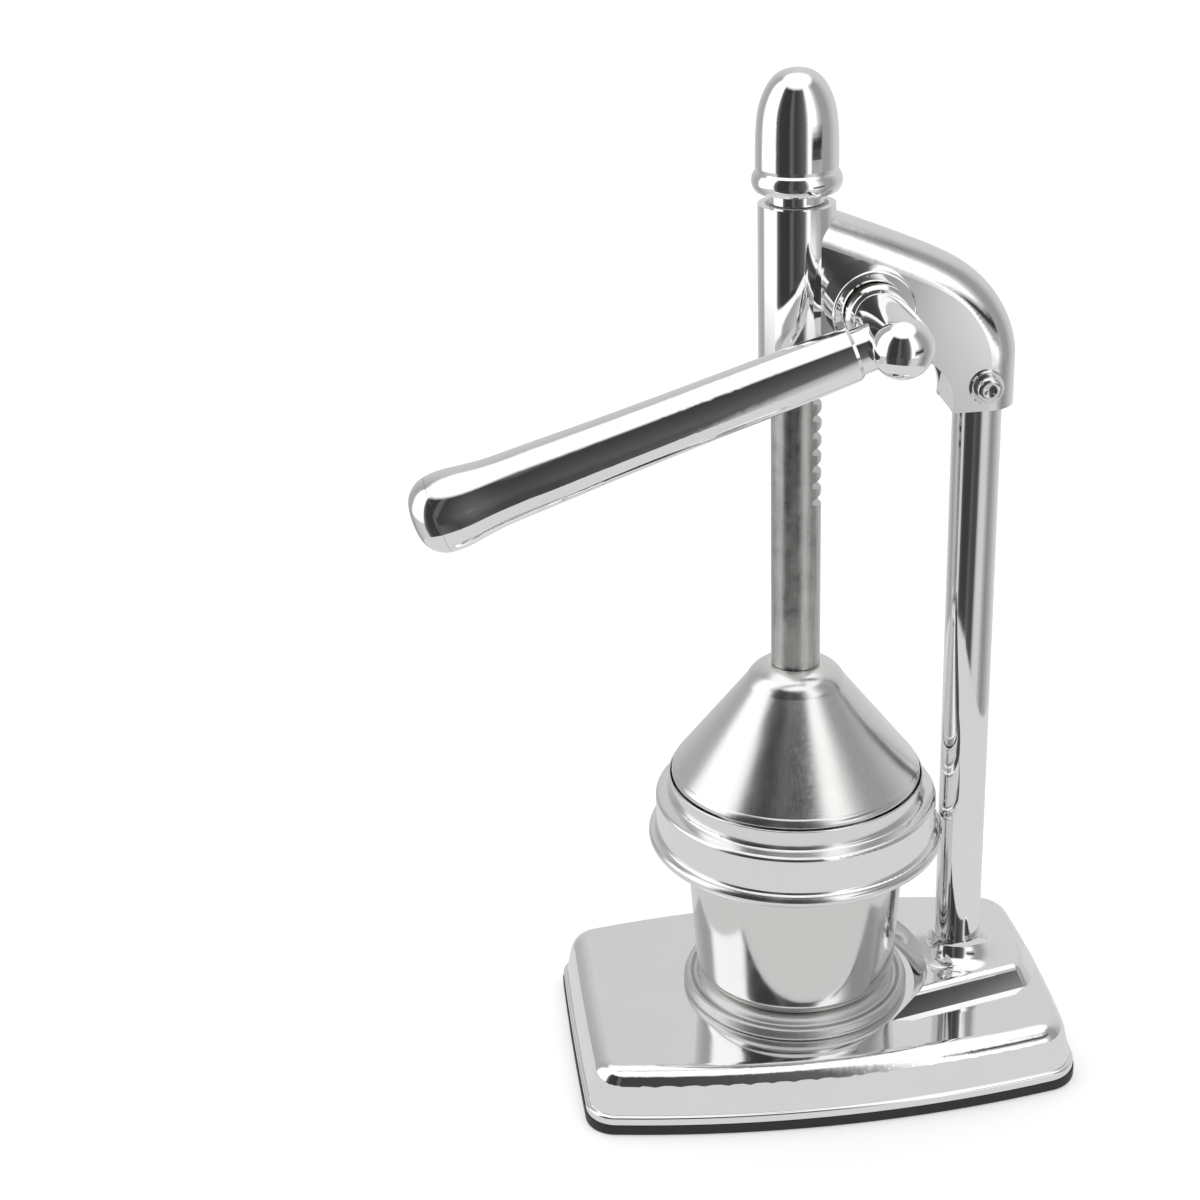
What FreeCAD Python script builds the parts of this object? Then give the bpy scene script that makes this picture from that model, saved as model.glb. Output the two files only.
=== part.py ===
import FreeCAD, Part
import math
import os
import Sketcher

# Lever-operated citrus press with a rack and pinion, all sizes in millimetres.
# Frame: origin on the press axis (the axis of the rack rod, hood, strainer and
# cup) in the plane the press stands on; +Z up; +X towards the column; the
# lever is on the -Y side and points towards -X at rest.

V = FreeCAD.Vector
doc = FreeCAD.newDocument("CitrusPress")
sheet = doc.addObject("Spreadsheet::Sheet", "dims")

CELLS = [
    # overall and axes
    ("top_z", 380.0), ("column_x", 64.9), ("pinion_x", 23.0), ("pinion_z", 300.5),
    # base
    ("pad_thick", 4.3), ("flange_top", 7.8), ("base_top", 24.6), ("plate_thick", 1.5),
    ("base_left", -88.2), ("base_left_mid", -88.9), ("base_right", 100.0), ("base_right_mid", 102.0),
    ("base_left_w", 54.2), ("base_right_w", 52.3), ("base_mid_x", 5.7), ("base_mid_w", 63.0),
    ("flange_inset", 0.3), ("wall_inset", 1.5), ("base_draft", 11.0), ("base_wall", 2.4),
    ("corner_rad_left", 12.0), ("corner_rad_right", 14.0), ("base_edge_rad", 7.0),
    ("hill_round", 4.0), ("hill_rise", 7.4), ("hill_draft", 34.0), ("hill_front_x", 29.3), ("hill_front_y", 35.6),
    ("hill_end_x", 88.4), ("hill_end_y", 20.7), ("hill_end_mid", 95.5),
    ("collar_rad", 10.1), ("collar_top", 41.5), ("trumpet_rad", 8.8),
    # column
    ("column_rad", 8.7), ("column_wall", 1.6), ("column_foot", 14.0), ("column_head", 284.0),
    # head casting
    ("guide_rad", 13.3), ("guide_low", 271.0), ("guide_high", 334.9), ("arm_half", 11.8),
    ("head_wall", 3.0), ("leg_low", 260.0), ("arm_low", 279.5), ("bolt_z", 268.9),
    ("boss_rad", 13.0), ("boss_face", 14.0), ("boss_front_rad", 14.6), ("boss_front", 20.0), ("arm_round", 11.0),
    # rack and pinion: module 2, 16 teeth
    ("gear_mod", 2.0), ("gear_teeth", 16.0), ("gear_half", 6.0), ("pitch_rad", 16.0),
    ("rod_rad", 8.94), ("rod_low", 163.3), ("rod_high", 333.0), ("rack_low", 219.0), ("rack_high", 316.0),
    ("rack_line", 7.0), ("rack_root", 4.4), ("strip_half", 6.6), ("spigot_rad", 5.0), ("spigot_high", 352.0),
    ("bush_rad", 10.8), ("bush_len", 10.0), ("rod_clear", 0.06),
    # lever
    ("shaft_rad", 6.0), ("hub_rad", 10.2), ("hub_start", 22.0), ("ball_y", 59.5),
    ("lever_y", 48.0), ("lever_drop", 18.3), ("neck_rad", 7.8), ("tube_start", 13.4), ("cap_seam", 159.3),
    ("lever_tip", 168.0),
    # hood
    ("hood_top", 163.2), ("hood_rim", 118.9), ("hood_rim_rad", 46.6), ("hood_wall", 1.0),
    # strainer
    ("collar_ring_rad", 47.8), ("ring_top", 118.4), ("shoulder_z", 110.6), ("skirt_rad", 52.8),
    ("skirt_low", 95.0), ("lip_rad", 55.8), ("lip_low", 91.4), ("lip_high", 94.8), ("shelf_z", 92.0),
    # cup
    ("cup_top", 91.4), ("cup_top_rad", 41.7), ("cup_low_rad", 38.5), ("cup_floor", 31.4), ("cup_wall", 0.8),
    ("saucer_rad", 43.5), ("saucer_gap", 0.1),
]
for row, (name, value) in enumerate(CELLS, start=1):
    sheet.set("A%d" % row, name)
    sheet.set("B%d" % row, "%r" % value)
    sheet.setAlias("B%d" % row, name)
doc.recompute()


def P(name):
    """Value of a sheet cell."""
    return float(sheet.get(name))


def E(*terms):
    """A sum of numbers, cell names, '-name' and (factor, name) as value and expression."""
    value, text = 0.0, ""
    for term in terms:
        if isinstance(term, tuple):
            factor, name = term
            value += factor * P(name)
            text += " %s %.6g * dims.%s" % ("-" if factor < 0 else "+", abs(factor), name)
        elif isinstance(term, str):
            sign = -1.0 if term.startswith("-") else 1.0
            name = term.lstrip("-")
            value += sign * P(name)
            text += " %s dims.%s" % ("-" if sign < 0 else "+", name)
        else:
            value += term
            text += " %s %.6g" % ("-" if term < 0 else "+", abs(term))
    text = text.strip()
    if text.startswith("+"):
        text = text[1:].strip()
    elif text.startswith("-"):
        text = "0 " + text
    return value, text


def as_expr(item):
    """Numbers, names and term lists all become (value, expression)."""
    if isinstance(item, list):
        return E(*item)
    return E(item)


def new_body(label):
    body = doc.addObject("PartDesign::Body", label)
    body.Label = label
    return body


def plane_of(body, role):
    for feature in body.Origin.OriginFeatures:
        if feature.Role == role:
            return feature
    raise RuntimeError("no plane " + role)


def new_sketch(body, name, role="XZ_Plane", offset=None):
    sketch = body.newObject("Sketcher::SketchObject", name)
    sketch.AttachmentSupport = [(plane_of(body, role), "")]
    sketch.MapMode = "FlatFace"
    if offset is not None:
        value, text = as_expr(offset)
        sketch.AttachmentOffset = FreeCAD.Placement(V(0, 0, value), FreeCAD.Rotation())
        sketch.setExpression(".AttachmentOffset.Base.z", text)
    return sketch


def pin_point(sketch, geo, pos, x, y):
    """Fixes one sketch point at cell-driven coordinates."""
    if abs(x[0]) < 1e-9:
        sketch.addConstraint(Sketcher.Constraint("PointOnObject", geo, pos, -2))
    else:
        index = sketch.addConstraint(Sketcher.Constraint("DistanceX", -1, 1, geo, pos, x[0]))
        sketch.setExpression("Constraints[%d]" % index, x[1])
    if abs(y[0]) < 1e-9:
        sketch.addConstraint(Sketcher.Constraint("PointOnObject", geo, pos, -1))
    else:
        index = sketch.addConstraint(Sketcher.Constraint("DistanceY", -1, 1, geo, pos, y[0]))
        sketch.setExpression("Constraints[%d]" % index, y[1])


def arc_through(a, m, b):
    """Arc from a through m to b, drawn anticlockwise; says whether it runs from b to a."""
    d = 2.0 * (a.x * (m.y - b.y) + m.x * (b.y - a.y) + b.x * (a.y - m.y))
    if abs(d) < 1e-9:
        raise RuntimeError("arc points in line")
    aa, mm, bb = a.x ** 2 + a.y ** 2, m.x ** 2 + m.y ** 2, b.x ** 2 + b.y ** 2
    centre = V((aa * (m.y - b.y) + mm * (b.y - a.y) + bb * (a.y - m.y)) / d,
               (aa * (b.x - m.x) + mm * (a.x - b.x) + bb * (m.x - a.x)) / d, 0)
    clockwise = (m.x - a.x) * (b.y - m.y) - (m.y - a.y) * (b.x - m.x) < 0
    start, stop = (b, a) if clockwise else (a, b)
    u0 = math.atan2(start.y - centre.y, start.x - centre.x)
    u1 = math.atan2(stop.y - centre.y, stop.x - centre.x)
    if u1 <= u0:
        u1 += 2.0 * math.pi
    circle = Part.Circle(centre, V(0, 0, 1), (a - centre).Length)
    return Part.ArcOfCircle(circle, u0, u1), clockwise


def closed_profile(sketch, steps):
    """Closed outline. A step is (x, y), ('arc', xm, ym, x, y) or
    ('spline', [(x, y), ...], x, y); it runs from the last point to (x, y)."""
    ends = []
    for step in steps:
        ends.append((as_expr(step[-2]), as_expr(step[-1])))
    count = len(steps)
    first, last = [], []
    for i, step in enumerate(steps):
        start, stop = ends[i - 1], ends[i]
        a, b = V(start[0][0], start[1][0], 0), V(stop[0][0], stop[1][0], 0)
        if step[0] == "arc":
            middle = V(as_expr(step[1])[0], as_expr(step[2])[0], 0)
            curve, flipped = arc_through(a, middle, b)
            geo = sketch.addGeometry(curve, False)
            first.append((geo, 2 if flipped else 1))
            last.append((geo, 1 if flipped else 2))
            sketch.addConstraint(Sketcher.Constraint("Radius", geo, curve.Radius))
        elif step[0] == "spline":
            points = [a] + [V(p[0], p[1], 0) for p in step[1]] + [b]
            curve = Part.BSplineCurve()
            curve.interpolate(points)
            geo = sketch.addGeometry(curve, False)
            sketch.addConstraint(Sketcher.Constraint("Block", geo))
            first.append((geo, 1))
            last.append((geo, 2))
        else:
            geo = sketch.addGeometry(Part.LineSegment(a, b), False)
            first.append((geo, 1))
            last.append((geo, 2))
    blocked = set(i for i, step in enumerate(steps) if step[0] == "spline")
    for i in range(count):
        j = (i + 1) % count
        # segment i ends at ends[i], segment j starts there
        if i in blocked or j in blocked:
            for k, (geo, pos) in ((i, last[i]), (j, first[j])):
                if k not in blocked:
                    pin_point(sketch, geo, pos, ends[i][0], ends[i][1])
        else:
            pin_point(sketch, last[i][0], last[i][1], ends[i][0], ends[i][1])
            sketch.addConstraint(Sketcher.Constraint("Coincident", last[i][0], last[i][1], first[j][0], first[j][1]))


def circle_at(sketch, x, y, radius):
    x, y, radius = as_expr(x), as_expr(y), as_expr(radius)
    geo = sketch.addGeometry(Part.Circle(V(x[0], y[0], 0), V(0, 0, 1), radius[0]), False)
    pin_point(sketch, geo, 3, x, y)
    index = sketch.addConstraint(Sketcher.Constraint("Radius", geo, radius[0]))
    sketch.setExpression("Constraints[%d]" % index, radius[1])
    return geo


def box_outline(sketch, x0, x1, y0, y1):
    closed_profile(sketch, [(x0, y0), (x1, y0), (x1, y1), (x0, y1)])


def place(body, x=0.0, y=0.0, z=0.0, rotation=None):
    """Placement with cell-driven base point."""
    x, y, z = as_expr(x), as_expr(y), as_expr(z)
    body.Placement = FreeCAD.Placement(V(x[0], y[0], z[0]), rotation or FreeCAD.Rotation())
    for axis, item in (("x", x), ("y", y), ("z", z)):
        body.setExpression(".Placement.Base." + axis, item[1])


def revolved(label, steps):
    """A body turned about its own Z from an outline of (radius, height) steps."""
    body = new_body(label)
    sketch = new_sketch(body, label + "_profile")
    closed_profile(sketch, steps)
    doc.recompute()
    turn = body.newObject("PartDesign::Revolution", label + "_turn")
    turn.Profile = sketch
    turn.ReferenceAxis = (sketch, ["V_Axis"])
    turn.Angle = 360.0
    doc.recompute()
    return body


def pad(body, sketch, name, length, midplane=False, reverse=False, taper=None):
    feature = body.newObject("PartDesign::Pad", name)
    feature.Profile = sketch
    value, text = as_expr(length)
    feature.Length = value
    feature.setExpression("Length", text)
    if midplane:
        feature.SideType = "Symmetric"
    feature.Reversed = reverse
    if taper is not None:
        value, text = as_expr(taper)
        feature.TaperAngle = value
        feature.setExpression("TaperAngle", text)
    doc.recompute()
    return feature


def pocket(body, sketch, name, length, midplane=False, reverse=False, taper=None):
    """A pocket that must remove material."""
    before = body.Shape.Volume
    feature = body.newObject("PartDesign::Pocket", name)
    feature.Profile = sketch
    value, text = as_expr(length)
    feature.Length = value
    feature.setExpression("Length", text)
    if midplane:
        feature.SideType = "Symmetric"
    feature.Reversed = reverse
    if taper is not None:
        value, text = as_expr(taper)
        feature.TaperAngle = value
        feature.setExpression("TaperAngle", text)
    doc.recompute()
    if not body.Shape.Volume < before - 1e-3:
        raise RuntimeError("pocket %s removed nothing" % name)
    return feature


def polar(body, features, name, count, axis_sketch=None):
    pattern = body.newObject("PartDesign::PolarPattern", name)
    pattern.Originals = features
    pattern.Axis = (plane_axis(body, "Z_Axis"), [""])
    pattern.Angle = 360.0
    pattern.Occurrences = count
    body.Tip = pattern
    doc.recompute()
    return pattern


def plane_axis(body, role):
    for feature in body.Origin.OriginFeatures:
        if feature.Role == role:
            return feature
    raise RuntimeError("no axis " + role)


def round_edges(body, name, radius, choose):
    """Fillet on the edges of the tip that 'choose' accepts."""
    tip = body.Tip
    names = ["Edge%d" % (i + 1) for i, edge in enumerate(tip.Shape.Edges) if choose(edge)]
    if not names:
        raise RuntimeError("no edges for " + name)
    value, text = as_expr(radius)
    feature = body.newObject("PartDesign::Fillet", name)
    feature.Base = (tip, names)
    feature.Radius = value
    feature.setExpression("Radius", text)
    doc.recompute()
    return feature


Y_FRONT = FreeCAD.Rotation(V(1, 0, 0), 90)          # local Z becomes -Y
LEVER_TURN = FreeCAD.Rotation(V(0, 1, 0), -(90.0 + P("lever_drop")))   # local Z runs down the lever

# ---------------------------------------------------------------- base ----

def base_outline(sketch, inset):
    """Four bowed sides of the base plan, moved inwards by 'inset' (a term list)."""
    plus = list(inset)
    minus = [(-1.0, t) if isinstance(t, str) else -t for t in inset]
    closed_profile(sketch, base_steps(plus, minus))


def base_steps(plus, minus):
    low_y, high_y = [(-1.0, "base_left_w")] + plus, ["base_left_w"] + minus
    low_r, high_r = [(-1.0, "base_right_w")] + plus, ["base_right_w"] + minus
    return [
        ("arc", ["base_left_mid"] + plus, 0.0, ["base_left"] + plus, low_y),
        ("arc", ["base_mid_x"], [(-1.0, "base_mid_w")] + plus, ["base_right"] + minus, low_r),
        ("arc", ["base_right_mid"] + minus, 0.0, ["base_right"] + minus, high_r),
        ("arc", ["base_mid_x"], ["base_mid_w"] + minus, ["base_left"] + plus, high_y),
    ]


def corner_edges(edge, left):
    """Upright edges at the left or right corners of the base."""
    box = edge.BoundBox
    tall = box.ZLength > 1.0 and box.XLength < 12.0 and box.YLength < 12.0
    side = box.Center.x < -70.0 if left else box.Center.x > 80.0
    return tall and side and abs(box.Center.y) > 40.0


def base_block(label, low, height, inset, draft=None):
    body = new_body(label)
    sketch = new_sketch(body, label + "_plan", "XY_Plane", low)
    base_outline(sketch, inset)
    doc.recompute()
    pad(body, sketch, label + "_pad", height, taper=draft)
    round_edges(body, label + "_corners_left", "corner_rad_left", lambda e: corner_edges(e, True))
    round_edges(body, label + "_corners_right", "corner_rad_right", lambda e: corner_edges(e, False))
    return body


# Soft pad under the whole base, 4.3 mm thick.
base_pad = base_block("base_pad", 0.0, "pad_thick", [0.0])
sketch = new_sketch(base_pad, "pad_holes", "XY_Plane", "pad_thick")
SCREWS = [(-68.0, -36.0), (-68.0, 36.0), (76.0, -36.0), (76.0, 36.0)]
for x, y in SCREWS:
    circle_at(sketch, x, y, 4.6)
circle_at(sketch, "column_x", 0.0, 9.0)
doc.recompute()
pocket(base_pad, sketch, "pad_hole_cut", 10.0)
round_edges(base_pad, "pad_low_edge", 0.8, lambda e: abs(e.BoundBox.ZMax) < 0.01 and e.BoundBox.DiagonalLength > 30)

# Cast shell: drafted walls with a rounded top edge, on a flange.
base_shell = base_block("base_shell", "flange_top", ["base_top", "-flange_top"], ["wall_inset"], [(-1.0, "base_draft")])
round_edges(base_shell, "shell_top_edge", "base_edge_rad",
            lambda e: abs(e.BoundBox.ZMin - P("base_top")) < 0.01 and abs(e.BoundBox.ZMax - P("base_top")) < 0.01)
sketch = new_sketch(base_shell, "flange_plan", "XY_Plane", "pad_thick")
base_outline(sketch, ["flange_inset"])
doc.recompute()
pad(base_shell, sketch, "flange_pad", ["flange_top", "-pad_thick"])
round_edges(base_shell, "flange_corners_left", "corner_rad_left",
            lambda e: e.BoundBox.ZMax < P("flange_top") + 0.1 and e.BoundBox.ZLength > 1 and e.BoundBox.XLength < 0.1 and e.BoundBox.YLength < 0.1 and e.BoundBox.Center.x < -70)
round_edges(base_shell, "flange_corners_right", "corner_rad_right",
            lambda e: e.BoundBox.ZMax < P("flange_top") + 0.1 and e.BoundBox.ZLength > 1 and e.BoundBox.XLength < 0.1 and e.BoundBox.YLength < 0.1 and e.BoundBox.Center.x > 80)


def flange_rim(edge):
    """The outer loop of the flange's top face."""
    box = edge.BoundBox
    if abs(box.ZMin - P("flange_top")) > 0.01 or abs(box.ZMax - P("flange_top")) > 0.01:
        return False
    middle = edge.valueAt((edge.FirstParameter + edge.LastParameter) / 2.0)
    inner = P("wall_inset") + 0.1 - P("flange_inset")
    point = Part.Vertex(V(middle.x, middle.y, P("pad_thick")))
    rim = [e for e in base_shell.Tip.Shape.Edges
           if abs(e.BoundBox.ZMin - P("pad_thick")) < 0.01 and abs(e.BoundBox.ZMax - P("pad_thick")) < 0.01]
    return min(point.distToShape(e)[0] for e in rim) < 0.3


round_edges(base_shell, "flange_round", 1.0, flange_rim)

# Raised foot of the column: a drafted plateau, hollowed by an arc that clears
# the cup's saucer, with a collar that flares out onto it.
sketch = new_sketch(base_shell, "hill_plan", "XY_Plane", ["base_top", -1.0])
hill_r = math.hypot(P("hill_front_x"), P("hill_front_y"))
closed_profile(sketch, [
    ("arc", hill_r, 0.0, "hill_front_x", [(-1.0, "hill_front_y")]),
    ("hill_end_x", [(-1.0, "hill_end_y")]),
    ("arc", "hill_end_mid", 0.0, "hill_end_x", "hill_end_y"),
    ("hill_front_x", "hill_front_y"),
])
doc.recompute()
pad(base_shell, sketch, "hill_pad", ["hill_rise", 1.0], taper=[(-1.0, "hill_draft")])
HILL_TOP = P("base_top") + P("hill_rise")
sketch = new_sketch(base_shell, "collar_plan", "XY_Plane", "base_top")
circle_at(sketch, "column_x", 0.0, "collar_rad")
doc.recompute()
pad(base_shell, sketch, "collar_pad", ["collar_top", "-base_top"])
round_edges(base_shell, "trumpet", "trumpet_rad",
            lambda e: abs(e.BoundBox.ZMin - HILL_TOP) < 0.01 and abs(e.BoundBox.ZMax - HILL_TOP) < 0.01
            and abs(e.BoundBox.XLength - 2 * P("collar_rad")) < 0.1)


def hill_edge(edge):
    """Long crests of the plateau, its outer end, and the two corners there."""
    box = edge.BoundBox
    crest = abs(box.ZMin - HILL_TOP) < 0.01 and abs(box.ZMax - HILL_TOP) < 0.01
    long_one = crest and (edge.Curve.TypeId == "Part::GeomLine" or box.XMin > 80.0)
    corner = abs(box.ZMax - HILL_TOP) < 0.01 and box.ZMin < P("base_top") + 0.4 and box.XMin > 80.0 and box.XMax < 95.0
    return long_one or corner


round_edges(base_shell, "hill_crest", "hill_round", hill_edge)
# hollow underside
sketch = new_sketch(base_shell, "hollow_low_plan", "XY_Plane", "pad_thick")
base_outline(sketch, ["wall_inset", 4.0])
doc.recompute()
pocket(base_shell, sketch, "hollow_low", 13.0, reverse=True)
sketch = new_sketch(base_shell, "hollow_high_plan", "XY_Plane", "pad_thick")
base_outline(sketch, ["wall_inset", 9.0])
doc.recompute()
pocket(base_shell, sketch, "hollow_high", ["base_top", "-pad_thick", "-base_wall"], reverse=True)
sketch = new_sketch(base_shell, "boss_plan", "XY_Plane", ["pad_thick", "plate_thick", 0.1])
for x, y in SCREWS:
    circle_at(sketch, x, y, 4.6)
circle_at(sketch, "column_x", 0.0, "column_foot")
doc.recompute()
pad(base_shell, sketch, "bosses", ["base_top", "-pad_thick", "-plate_thick", -1.0])
sketch = new_sketch(base_shell, "thread_plan", "XY_Plane", "pad_thick")
for x, y in SCREWS:
    circle_at(sketch, x, y, 2.0)
circle_at(sketch, "column_x", 0.0, 4.3)
doc.recompute()
pocket(base_shell, sketch, "threads", 13.0, reverse=True)
sketch = new_sketch(base_shell, "washer_recess_plan", "XY_Plane", "pad_thick")
circle_at(sketch, "column_x", 0.0, 9.0)
doc.recompute()
pocket(base_shell, sketch, "washer_recess", 4.52, reverse=True)
sketch = new_sketch(base_shell, "column_bore_plan", "XY_Plane", "column_foot")
circle_at(sketch, "column_x", 0.0, ["column_rad", 0.04])
doc.recompute()
pocket(base_shell, sketch, "column_bore", 60.0, reverse=True)

bottom_plate = base_block("bottom_plate", "pad_thick", "plate_thick", ["wall_inset", 4.4])
sketch = new_sketch(bottom_plate, "plate_holes", "XY_Plane", ["pad_thick", "plate_thick"])
for x, y in SCREWS:
    circle_at(sketch, x, y, 2.2)
circle_at(sketch, "column_x", 0.0, 9.5)
doc.recompute()
pocket(bottom_plate, sketch, "plate_hole_cut", 5.0)

# ------------------------------------------------------------- fasteners --

def screw_set(label, spots, head_low, head_rad, head_high, shank_rad, tip_z, socket):
    """Upright screws, heads down, as one group of separate solids."""
    group = []
    for i, (x, y) in enumerate(spots):
        head = doc.addObject("Part::Cylinder", "%s_head%d" % (label, i))
        head.Radius, head.Height = head_rad, head_high
        head.Placement.Base = V(x, y, head_low)
        shank = doc.addObject("Part::Cylinder", "%s_shank%d" % (label, i))
        shank.Radius, shank.Height = shank_rad, tip_z - head_low
        shank.Placement.Base = V(x, y, head_low)
        both = doc.addObject("Part::Fuse", "%s_solid%d" % (label, i))
        both.Base, both.Tool = head, shank
        drive = doc.addObject("Part::Prism", "%s_drive%d" % (label, i))
        drive.Polygon = 6
        drive.Circumradius = socket
        drive.Height = head_high * 0.6
        drive.Placement.Base = V(x, y, head_low)
        cut = doc.addObject("Part::Cut", "%s_screw%d" % (label, i))
        cut.Base, cut.Tool = both, drive
        group.append(cut)
    merged = doc.addObject("Part::Compound", label)
    merged.Links = group
    merged.Label = label
    doc.recompute()
    return merged


plate_screws = screw_set("plate_screws", SCREWS, P("pad_thick") - 2.6, 3.6, 2.6, 1.98, P("pad_thick") + 9.0, 1.6)

# ---------------------------------------------------------------- column --

column = new_body("column")
sketch = new_sketch(column, "column_ring", "XY_Plane", ["column_foot", 0.05])
circle_at(sketch, "column_x", 0.0, "column_rad")
circle_at(sketch, "column_x", 0.0, ["column_rad", "-column_wall"])
doc.recompute()
pad(column, sketch, "column_pad", ["column_head", "-column_foot", -0.05])
sketch = new_sketch(column, "column_cross_hole", "XZ_Plane")
circle_at(sketch, "column_x", "bolt_z", 3.05)
doc.recompute()
pocket(column, sketch, "column_cross_cut", 30.0, midplane=True)

column_plug = revolved("column_plug", [
    (4.02, ["column_foot", 0.1]), (["column_rad", "-column_wall", -0.05], ["column_foot", 0.1]),
    (["column_rad", "-column_wall", -0.05], ["column_foot", 28.0]), (4.02, ["column_foot", 28.0]),
])
place(column_plug, x="column_x")
column_bolt = revolved("column_bolt", [
    (0.0, 4.2), (2.6, 4.2), (2.6, 1.2), (6.4, 1.2), (6.4, 7.2), (3.97, 7.2), (3.97, 36.0), (0.0, 36.0),
])
place(column_bolt, x="column_x")
column_washer = revolved("column_washer", [(4.1, 7.25), (8.6, 7.25), (8.6, 8.8), (4.1, 8.8)])
place(column_washer, x="column_x")

# ---------------------------------------------------------- head casting --

head = new_body("head_casting")
TOP_CURVE = [(23.1, 327.4), (37.2, 321.5), (51.4, 314.9), (58.8, 310.4), (66.0, 304.0), (72.0, 295.6), (75.8, 286.6)]
sketch = new_sketch(head, "arm_side", "XZ_Plane")
closed_profile(sketch, [
    (2.0, 332.2), (12.0, 331.9), ("spline", TOP_CURVE, 77.2, 275.0), (77.2, "leg_low"), (53.0, "leg_low"),
    ("arc", 50.6, 272.6, 43.5, "arm_low"), (2.0, "arm_low"),
])
doc.recompute()
pad(head, sketch, "arm_pad", [(2.0, "arm_half")], midplane=True)


def arm_top_edge(edge):
    """Long edges of the arm's top and back, on both side faces."""
    box = edge.BoundBox
    flat = abs(box.YLength) < 0.01 and abs(abs(box.Center.y) - P("arm_half")) < 0.01
    outer = (box.XMax > 77.0 and box.ZMin > 259.0 and box.XMin > 11.0 and not (abs(box.ZMax - P("leg_low")) < 0.1))
    return flat and outer


round_edges(head, "arm_round", "arm_round", arm_top_edge)
sketch = new_sketch(head, "guide_plan", "XY_Plane", "guide_low")
circle_at(sketch, 0.0, 0.0, "guide_rad")
doc.recompute()
pad(head, sketch, "guide_pad", ["guide_high", "-guide_low"])
sketch = new_sketch(head, "boss_side", "XZ_Plane")
circle_at(sketch, "pinion_x", "pinion_z", "boss_rad")
doc.recompute()
pad(head, sketch, "boss_pad", [(2.0, "boss_face")], midplane=True)
nose = head.newObject("PartDesign::AdditiveCylinder", "boss_nose")
nose.Radius = P("boss_front_rad")
nose.setExpression("Radius", "dims.boss_front_rad")
nose.Height = P("boss_front") - 10.0
nose.setExpression("Height", "dims.boss_front - 10")
nose.Placement = FreeCAD.Placement(V(P("pinion_x"), -10.0, P("pinion_z")), Y_FRONT)
doc.recompute()
round_edges(head, "nose_round", 1.0, lambda e: abs(e.BoundBox.YMin + P("boss_front")) < 0.02 and abs(e.BoundBox.YMax + P("boss_front")) < 0.02)
# inner hollow, open downwards between the guide and the leg
sketch = new_sketch(head, "hollow_side", "XZ_Plane")
closed_profile(sketch, [
    (53.2, 250.0), (53.2, 308.6), ("spline", [(45.0, 313.9), (37.0, 317.9), (26.0, 322.5)], 14.6, 327.0),
    (14.6, 320.0), (3.6, 320.0), (3.6, 281.6), (14.6, 281.6), (14.6, 250.0),
])
doc.recompute()
pocket(head, sketch, "hollow_cut", [(2.0, "arm_half"), (-2.0, "head_wall")], midplane=True)
sketch = new_sketch(head, "rod_bore_plan", "XY_Plane", ["guide_low", -1.0])
circle_at(sketch, 0.0, 0.0, ["rod_rad", 0.2])
doc.recompute()
pocket(head, sketch, "rod_bore", 80.0, reverse=True)
sketch = new_sketch(head, "low_bush_seat", "XY_Plane", ["guide_low", -1.0])
circle_at(sketch, 0.0, 0.0, ["bush_rad", 0.03])
doc.recompute()
pocket(head, sketch, "low_bush_bore", ["bush_len", 1.0], reverse=True)
sketch = new_sketch(head, "high_bush_seat", "XY_Plane", ["guide_high", 1.0])
circle_at(sketch, 0.0, 0.0, ["bush_rad", 0.03])
doc.recompute()
pocket(head, sketch, "high_bush_bore", ["bush_len", 1.0])
sketch = new_sketch(head, "column_seat_plan", "XY_Plane", ["leg_low", -1.0])
circle_at(sketch, "column_x", 0.0, ["column_rad", 0.04])
doc.recompute()
pocket(head, sketch, "column_seat", ["column_head", 0.5, "-leg_low", 1.0], reverse=True)
sketch = new_sketch(head, "cross_holes", "XZ_Plane")
circle_at(sketch, "column_x", "bolt_z", 3.05)
circle_at(sketch, "pinion_x", "pinion_z", 8.03)
doc.recompute()
pocket(head, sketch, "cross_cut", 60.0, midplane=True)

guide_bush_upper = revolved("guide_bush_upper", [
    (["rod_rad", "rod_clear"], ["guide_high", "-bush_len", 0.05]), ("bush_rad", ["guide_high", "-bush_len", 0.05]),
    ("bush_rad", "guide_high"), (["rod_rad", "rod_clear"], "guide_high"),
])
guide_bush_lower = revolved("guide_bush_lower", [
    (["rod_rad", "rod_clear"], "guide_low"), ("bush_rad", "guide_low"),
    ("bush_rad", ["guide_low", "bush_len", -0.05]), (["rod_rad", "rod_clear"], ["guide_low", "bush_len", -0.05]),
])
SIDE = [
    (["shaft_rad", 0.04], 8.8), (8.0, 8.8), (8.0, ["boss_face"]), (9.6, ["boss_face"]), (9.6, ["boss_face", 1.4]),
    (["shaft_rad", 0.04], ["boss_face", 1.4]),
]
shaft_bush_front = revolved("shaft_bush_front", [
    (["shaft_rad", 0.04], 8.8), (8.0, 8.8), (8.0, "boss_front"), (8.9, "boss_front"), (8.9, ["boss_front", 1.4]),
    (["shaft_rad", 0.04], ["boss_front", 1.4]),
])
place(shaft_bush_front, "pinion_x", 0.0, "pinion_z", Y_FRONT)
shaft_bush_rear = revolved("shaft_bush_rear", SIDE)
place(shaft_bush_rear, "pinion_x", 0.0, "pinion_z", FreeCAD.Rotation(V(1, 0, 0), -90))

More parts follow.
